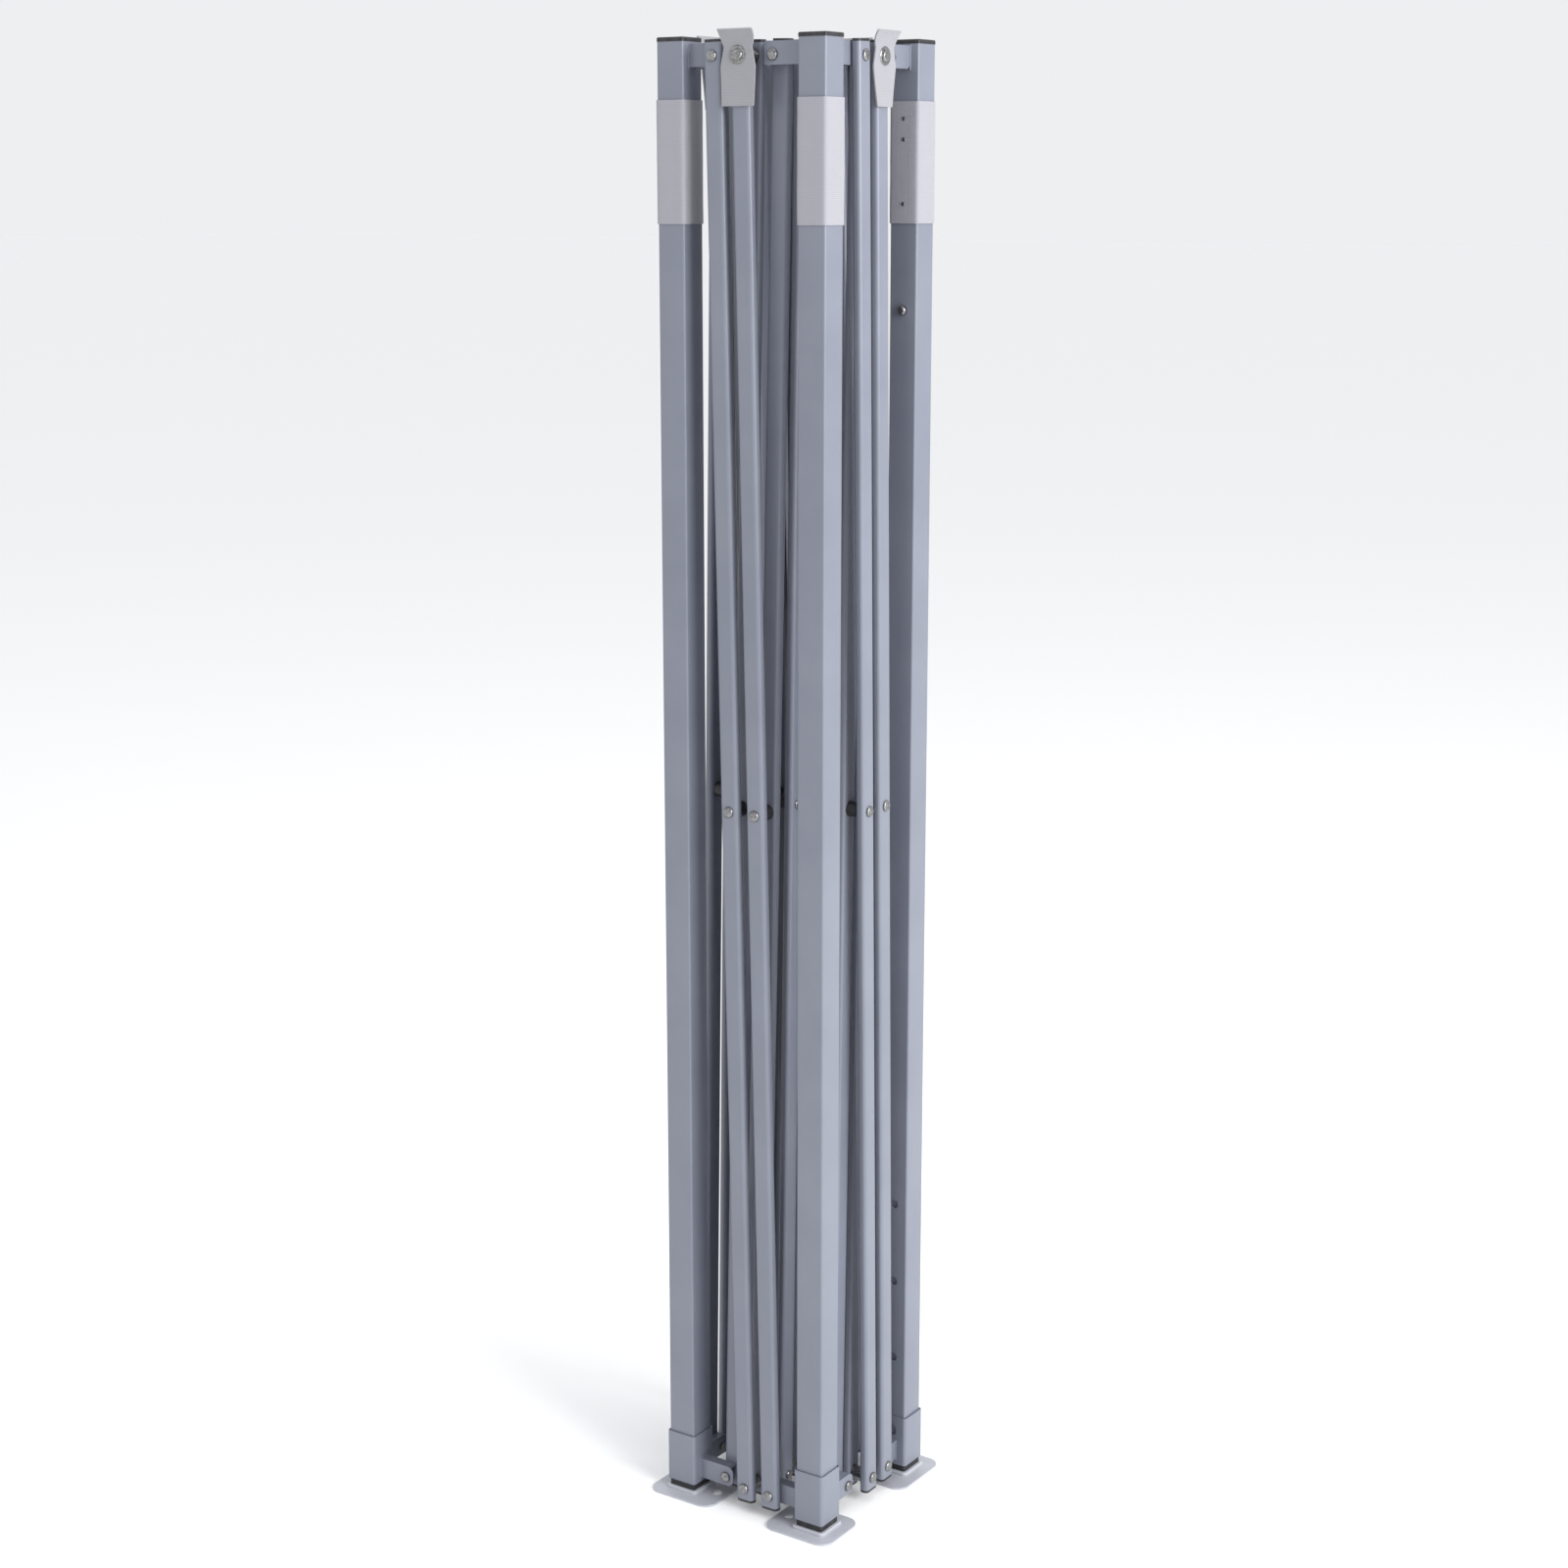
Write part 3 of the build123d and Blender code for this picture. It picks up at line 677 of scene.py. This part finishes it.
# ---------------------------------------------------------------- hook-and-loop bands
@dataclass
class LoopBands:
    """The pale band wrapped round each leg: one turn of tape with a lapped end."""

    paints: Paintbox
    thickness: float = 0.0011
    lap: float = 0.014
    corner: float = 0.0032
    skin: float = 0.0001
    steps_up: int = 44
    steps_side: int = 9
    waviness: float = 0.00022
    ripple_scale: float = 55.0
    fray_scale: float = 210.0
    stitches: int = 22
    stitch_radius: float = 0.00028
    stitch_share: float = 0.36
    stitch_sink: float = 0.0003
    stud_drops: tuple[float, float, float] = (0.14, 0.31, 0.84)
    stud_radius: float = 0.0022
    stud_rise: float = 0.0010
    stud_sink: float = 0.0004

    def turn_of_tape(self, half: float, height: float) -> bmesh.types.BMesh:
        """Build one open turn of tape, centred, divided finely enough to lie unevenly.

        Args:
            half: half the turn's outer width.
            height: the tape's width, which stands upright on the leg.

        Returns:
            The turn as a single surface that faces outwards.
        """
        shape = bmesh.new()
        bmesh.ops.create_cube(shape, size=1.0)
        ends = [face for face in shape.faces if abs(face.normal.z) > 0.5]
        bmesh.ops.delete(shape, geom=ends, context="FACES")
        bmesh.ops.scale(shape, verts=shape.verts, vec=(2 * half, 2 * half, height))
        bmesh.ops.bevel(
            shape, geom=self.upright(shape), offset=self.corner, offset_type="OFFSET",
            segments=4, profile=0.5, affect="EDGES", material=-1,
        )
        level = [
            edge for edge in shape.edges
            if edge.calc_length() > half and edge not in self.upright(shape)
        ]
        bmesh.ops.subdivide_edges(
            shape, edges=level, cuts=self.steps_side - 1, use_grid_fill=True
        )
        bmesh.ops.subdivide_edges(
            shape, edges=self.upright(shape), cuts=self.steps_up - 1, use_grid_fill=True
        )
        return shape

    def upright(self, shape: bmesh.types.BMesh) -> list[bmesh.types.BMEdge]:
        """Find a turn's edges that run up and down.

        Args:
            shape: the turn of tape.

        Returns:
            The upright edges.
        """
        return [
            edge for edge in shape.edges
            if abs(edge.verts[0].co.z - edge.verts[1].co.z) > edge.calc_length() / 2
        ]

    def sleeve(self, leg: int) -> bpy.types.Object:
        """Build one band as a turn of tape with a slightly uneven lie.

        Args:
            leg: the leg's number.

        Returns:
            The band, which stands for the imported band.
        """
        low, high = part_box(f"hook_band_{leg}")
        centre, half = (low + high) / 2, (high.x - low.x) / 2 - self.skin
        rise = (high.z - low.z) / self.steps_up
        shape = self.turn_of_tape(half, high.z - low.z)
        bmesh.ops.translate(shape, verts=shape.verts, vec=centre)
        for vertex in shape.verts:
            outward = Vector((vertex.co.x - centre.x, vertex.co.y - centre.y, 0.0)).normalized()
            ripple = noise.noise(vertex.co * self.ripple_scale + Vector((leg * 3.1, 0.0, 0.0)))
            vertex.co -= outward * self.waviness * (1.0 + ripple)
            if abs(vertex.co.z - low.z) < rise / 2 or abs(vertex.co.z - high.z) < rise / 2:
                vertex.co.z += noise.noise(vertex.co * self.fray_scale) * self.waviness
        shape.normal_update()
        shade_by_angle(shape)
        piece = finished_piece(
            f"loop_band_{leg}", shape, self.paints.band, f"leg_{leg}"
        )
        wall = piece.modifiers.new("tape_thickness", "SOLIDIFY")
        wall.thickness = self.thickness
        wall.offset = -1.0
        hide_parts(f"hook_band_{leg}")
        return piece

    def seam(self, leg: int) -> bpy.types.Object:
        """Build the two rows of stitches where the band's ends lap, on the leg's inner face.

        Args:
            leg: the leg's number.

        Returns:
            The stitches, as one piece.
        """
        low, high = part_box(f"hook_band_{leg}")
        centre = (low + high) / 2
        shape = bmesh.new()
        length = (high.z - low.z) / self.stitches
        stretch = length * self.stitch_share / self.stitch_radius
        for row in (-1.0, 1.0):
            for stitch in range(self.stitches):
                place = Vector((row * self.lap / 2, 0.0, low.z + (stitch + 0.5) * length))
                made = bmesh.ops.create_icosphere(
                    shape, subdivisions=1, radius=self.stitch_radius
                )["verts"]
                bmesh.ops.scale(shape, verts=made, vec=(1.0, 1.0, stretch))
                bmesh.ops.translate(shape, verts=made, vec=place)
        facing = around_side(leg)
        offset = facing @ Vector((0.0, (high.y - low.y) / 2 - self.stitch_sink, 0.0))
        bmesh.ops.rotate(shape, verts=shape.verts, cent=(0, 0, 0), matrix=facing.to_3x3())
        bmesh.ops.translate(shape, verts=shape.verts, vec=(centre.x, centre.y, 0.0))
        bmesh.ops.translate(shape, verts=shape.verts, vec=offset)
        shade_by_angle(shape)
        return finished_piece(
            f"band_stitches_{leg}", shape, self.paints.tab, f"leg_{leg}"
        )

    def studs(self, leg: int) -> bpy.types.Object:
        """Build the three small rivets that pin a band to its leg's button face.

        Args:
            leg: the leg's number.

        Returns:
            The rivets, as one piece.
        """
        low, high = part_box(f"hook_band_{leg}")
        button_low, button_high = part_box(f"lock_button_{leg}")
        centre = (low + high) / 2
        towards = (button_low + button_high) / 2 - centre
        towards.z = 0.0
        towards.normalize()
        half = (high.x - low.x) / 2
        turn = towards.to_track_quat("Z", "Y").to_matrix()
        shape = bmesh.new()
        for share in self.stud_drops:
            made = bmesh.ops.create_uvsphere(
                shape, u_segments=20, v_segments=10, radius=self.stud_radius
            )["verts"]
            bmesh.ops.scale(shape, verts=made, vec=(1.0, 1.0, self.stud_rise / self.stud_radius))
            bmesh.ops.rotate(shape, verts=made, cent=(0, 0, 0), matrix=turn)
            place = centre + towards * (half - self.stud_sink)
            place.z = high.z - share * (high.z - low.z)
            bmesh.ops.translate(shape, verts=made, vec=place)
        shade_by_angle(shape)
        return finished_piece(
            f"band_studs_{leg}", shape, self.paints.zinc, f"leg_{leg}"
        )

    def build(self) -> None:
        """Build the bands of all four legs."""
        for leg in range(1, SIDES + 1):
            self.sleeve(leg)
            self.seam(leg)
            self.studs(leg)


# ---------------------------------------------------------------- roof tabs
@dataclass
class RoofTabs:
    """The webbing tab that hangs from each upper middle bolt, its free end curling out."""

    paints: Paintbox
    thickness: float = 0.0015
    across: int = 18
    along: int = 40
    waist_drop: float = 0.016
    waist: float = 0.80
    taper_start: float = 0.3
    taper: tuple[float, float, float, float] = (0.92, 0.66, 0.92, 0.66)
    curl: float = 0.006
    droop: float = 0.004
    droop_start: float = 0.6
    ripple: float = 0.0004
    washer_bore: float = 0.0031
    washer_radius: float = 0.0085
    washer_height: float = 0.0009
    washer_sink: float = 0.0001

    def half_width(self, side: int, drop: float, width: float, length: float) -> float:
        """Work out how wide a tab is at one height: drawn in at its bolt, then tapered.

        Args:
            side: the side's number.
            drop: distance below the tab's upper edge.
            width: the tab's full width.
            length: the tab's full length.

        Returns:
            Half the tab's width there.
        """
        if drop < self.waist_drop:
            share = drop / self.waist_drop
            return width / 2 * (1.0 - (1.0 - self.waist) * share * share)
        share = (drop - self.waist_drop) / (length - self.waist_drop)
        full = self.waist + (1.0 - self.waist) * min(1.0, share * 3.0)
        tapered = max(0.0, share - self.taper_start) / (1.0 - self.taper_start)
        return width / 2 * (full + (self.taper[side - 1] - full) * tapered)

    def lift(self, side: int, drop: float, across: float, length: float) -> float:
        """Work out how far a tab stands out from its bolt's face at a place on it.

        Args:
            side: the side's number.
            drop: distance below the tab's upper edge.
            across: distance from the tab's middle line.
            length: the tab's full length.

        Returns:
            The distance out.
        """
        above = max(0.0, 1.0 - drop / self.waist_drop)
        below = max(0.0, (drop - self.droop_start * length) / length)
        ripple = noise.noise(Vector((across * 90.0, drop * 60.0, side * 5.3)))
        curl, droop = self.curl * above * above, self.droop * below * below
        return curl + droop + self.ripple * ripple * above

    def sheet(self, side: int) -> bpy.types.Object:
        """Build one tab as a grid of tape bent to its lie.

        Args:
            side: the side's number.

        Returns:
            The tab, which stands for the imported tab.
        """
        facing = around_side(side)
        back = facing.inverted()
        low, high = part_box(f"roof_tab_{side}")
        corners = [back @ low, back @ high]
        width = abs(corners[1].x - corners[0].x)
        front = max(corners[0].y, corners[1].y)
        length = high.z - low.z
        shape = bmesh.new()
        grid = bmesh.ops.create_grid(
            shape, x_segments=self.across, y_segments=self.along, size=0.5
        )["verts"]
        for vertex in grid:
            across, drop = vertex.co.x * 2.0, (0.5 - vertex.co.y) * length
            half = self.half_width(side, drop, width, length)
            out = self.lift(side, drop, across * half, length)
            vertex.co = Vector((across * half, front - out, high.z - drop))
        bmesh.ops.transform(shape, matrix=facing, verts=shape.verts)
        outward = facing @ Vector((0.0, -1.0, 0.0))
        if sum((face.normal for face in shape.faces), Vector()).dot(outward) < 0:
            bmesh.ops.reverse_faces(shape, faces=shape.faces)
        shape.normal_update()
        area = sum(face.calc_area() for face in shape.faces)
        shade_by_angle(shape)
        piece = finished_piece(
            f"webbing_tab_{side}", shape, self.paints.tab, f"top_joint_{side}"
        )
        wall = piece.modifiers.new("tape_thickness", "SOLIDIFY")
        wall.thickness = self.thickness
        wall.offset = 1.0
        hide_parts(f"roof_tab_{side}")
        return piece

    def washer(self, side: int) -> bpy.types.Object:
        """Build the thin washer under the bolt head that holds the tab.

        Args:
            side: the side's number.

        Returns:
            The washer.
        """
        facing = around_side(side)
        back = facing.inverted()
        low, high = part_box(f"roof_tab_{side}")
        bracket_low, bracket_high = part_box(f"top_bracket_{side}")
        level = (bracket_low.z + bracket_high.z) / 2
        face = min((back @ low).y, (back @ high).y)
        shape = bmesh.new()
        section = [
            (self.washer_bore, 0.0),
            (self.washer_radius, 0.0),
            (self.washer_radius, self.washer_height * 0.6),
            (self.washer_radius * 0.94, self.washer_height),
            (self.washer_bore, self.washer_height),
        ]
        verts = [shape.verts.new((radius, 0.0, rise)) for radius, rise in section]
        edges = [
            shape.edges.new((verts[step], verts[(step + 1) % len(verts)]))
            for step in range(len(verts))
        ]
        bmesh.ops.spin(
            shape, geom=verts + edges, cent=(0, 0, 0), axis=(0, 0, 1),
            dvec=(0, 0, 0), angle=2 * math.pi, steps=40, use_merge=True,
        )
        bmesh.ops.remove_doubles(shape, verts=shape.verts, dist=MERGE)
        bmesh.ops.recalc_face_normals(shape, faces=shape.faces)
        tilt = Matrix.Rotation(math.pi / 2, 4, "X")
        bmesh.ops.transform(shape, matrix=tilt, verts=shape.verts)
        place = Matrix.Translation(Vector((0.0, face + self.washer_sink, level)))
        bmesh.ops.transform(shape, matrix=facing @ place, verts=shape.verts)
        shade_by_angle(shape)
        return finished_piece(
            f"tab_washer_{side}", shape, self.paints.zinc, f"top_joint_{side}"
        )

    def build(self) -> None:
        """Build the tabs of all four sides."""
        for side in range(1, SIDES + 1):
            self.sheet(side)
            self.washer(side)


# ---------------------------------------------------------------- welds
@dataclass
class Welds:
    """The small beads where lugs are welded to legs and sliders."""

    paints: Paintbox
    bead: float = 0.0011
    lug_half: float = 0.0056
    lug_above: float = 0.012
    lug_below: float = 0.009
    ripples: int = 16
    cross_ripples: int = 8
    hub_pivot: float = 0.012
    leg_half: float = 0.015
    slider_half: float = 0.017

    def beads(
        self, name: str, centre: Vector, half: float, level: float, body: str, turn: int
    ) -> None:
        """Build the beads down both sides and across the top of a leg's two lugs.

        Args:
            name: the piece's name.
            centre: the leg's axis on the floor.
            half: half the width of the tube that the lugs stand on.
            level: height of the lugs' pivots.
            body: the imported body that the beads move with.
            turn: the leg's number, which says which way its lugs face.
        """
        shape = bmesh.new()
        foot, height = level - self.lug_below, self.lug_above + self.lug_below
        run = [
            Vector((half, row * self.lug_half, foot + height * step / self.ripples))
            for row in (-1.0, 1.0)
            for step in range(self.ripples + 1)
        ]
        for step in range(1, self.cross_ripples):
            across = self.lug_half * (2.0 * step / self.cross_ripples - 1.0)
            run.append(Vector((half, across, level + self.lug_above)))
        for lug in (0, 1):
            turning = Matrix.Rotation(math.pi / 2 * (turn - 1 + lug), 4, "Z")
            for point in run:
                made = bmesh.ops.create_uvsphere(
                    shape, u_segments=8, v_segments=5, radius=self.bead
                )["verts"]
                bmesh.ops.translate(shape, verts=made, vec=point)
                bmesh.ops.transform(
                    shape, matrix=Matrix.Translation(centre) @ turning, verts=made
                )
        shade_by_angle(shape)
        finished_piece(name, shape, self.paints.paint, body)

    def build(self) -> None:
        """Build the beads of every leg and slider."""
        for leg in range(1, SIDES + 1):
            band_low, band_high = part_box(f"hook_band_{leg}")
            centre = (band_low + band_high) / 2
            centre.z = 0.0
            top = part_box("upper_hub")[0].z + self.hub_pivot
            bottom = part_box("lower_hub")[0].z + self.hub_pivot
            self.beads(f"leg_welds_{leg}", centre, self.leg_half, top, f"leg_{leg}", leg)
            self.beads(
                f"slider_welds_{leg}", centre, self.slider_half, bottom, f"slider_{leg}", leg
            )


# ---------------------------------------------------------------- studio
@dataclass(frozen=True)
class Lamp:
    """One soft square light, aimed at the frame's middle."""

    name: str
    place: tuple[float, float, float]
    size: float
    power: float

    def hang(self) -> None:
        """Hang the light."""
        data = bpy.data.lights.new(self.name, "AREA")
        data.shape = "SQUARE"
        data.size = self.size
        data.energy = self.power
        lamp = bpy.data.objects.new(self.name, data)
        bpy.context.scene.collection.objects.link(lamp)
        lamp.location = self.place
        aim = FRAME_MIDDLE - Vector(self.place)
        lamp.rotation_mode = "QUATERNION"
        lamp.rotation_quaternion = aim.to_track_quat("-Z", "Y")


@dataclass
class Studio:
    """Pale floor, soft lights and the camera."""

    azimuth: float = 34.3
    elevation: float = 12.55
    distance: float = 2.64
    aim_height: float = 0.742
    aim_across: float = -0.0124
    lens: float = 61.46
    sensor: float = 36.0
    air: Colour = (0.97, 0.98, 1.0)
    air_strength: float = 0.88
    floor_half: float = 60.0
    floor_drop: float = 0.0002
    floor_grey: float = 0.92
    floor_glow: float = 0.068
    floor_roughness: float = 0.9
    lamps: tuple[Lamp, ...] = (
        Lamp("key_light", (3.9, -0.7, 2.2), 2.4, 190.0),
        Lamp("fill_light", (-3.2, -3.0, 2.0), 3.0, 10.0),
        Lamp("top_light", (0.0, 0.6, 4.0), 3.0, 24.0),
    )

    def camera(self) -> None:
        """Place the camera level with the bundle's middle, looking a little down."""
        turn, tilt = math.radians(self.azimuth), math.radians(self.elevation)
        back = Vector(
            (math.sin(turn) * math.cos(tilt), -math.cos(turn) * math.cos(tilt), math.sin(tilt))
        )
        across = Vector((math.cos(turn), math.sin(turn), 0.0))
        data = bpy.data.cameras.new("camera")
        data.lens = self.lens
        data.sensor_width = self.sensor
        camera = bpy.data.objects.new("camera", data)
        bpy.context.scene.collection.objects.link(camera)
        aim = across * self.aim_across + Vector((0, 0, self.aim_height))
        camera.location = aim + back * self.distance
        camera.rotation_mode = "QUATERNION"
        camera.rotation_quaternion = (-back).to_track_quat("-Z", "Y")
        bpy.context.scene.camera = camera

    def floor(self) -> None:
        """Lay the pale floor."""
        shape = bmesh.new()
        bmesh.ops.create_grid(shape, x_segments=1, y_segments=1, size=self.floor_half)
        bmesh.ops.translate(shape, verts=shape.verts, vec=(0.0, 0.0, -self.floor_drop))
        mesh = bpy.data.meshes.new("studio_floor")
        shape.to_mesh(mesh)
        shape.free()
        bench = NodeBench("studio_floor")
        grey = self.floor_grey
        bench.shader.inputs["Base Color"].default_value = (grey, grey, grey, 1.0)
        bench.shader.inputs["Roughness"].default_value = self.floor_roughness
        bench.shader.inputs["Emission Color"].default_value = (*self.air, 1.0)
        bench.shader.inputs["Emission Strength"].default_value = self.floor_glow
        mesh.materials.append(bench.material)
        floor = bpy.data.objects.new("studio_floor", mesh)
        bpy.context.scene.collection.objects.link(floor)

    def build(self) -> None:
        """Lay the floor, place the camera and set the light and the air."""
        self.floor()
        self.camera()
        for lamp in self.lamps:
            lamp.hang()
        world = bpy.data.worlds.new("studio_air")
        world.use_nodes = True
        back = world.node_tree.nodes["Background"]
        back.inputs["Color"].default_value = (*self.air, 1.0)
        back.inputs["Strength"].default_value = self.air_strength
        bpy.context.scene.world = world
        bpy.context.scene.view_settings.view_transform = "Standard"


def main() -> None:
    """Build and dress every part of the frame, then the studio round it."""
    logging.basicConfig(level=logging.INFO)
    paints = Paintbox()
    ScissorBars(paints).build()
    Legs(paints).build()
    Centre(paints).build()
    LoopBands(paints).build()
    RoofTabs(paints).build()
    Welds(paints).build()
    Studio().build()


if __name__ == "__main__":
    main()
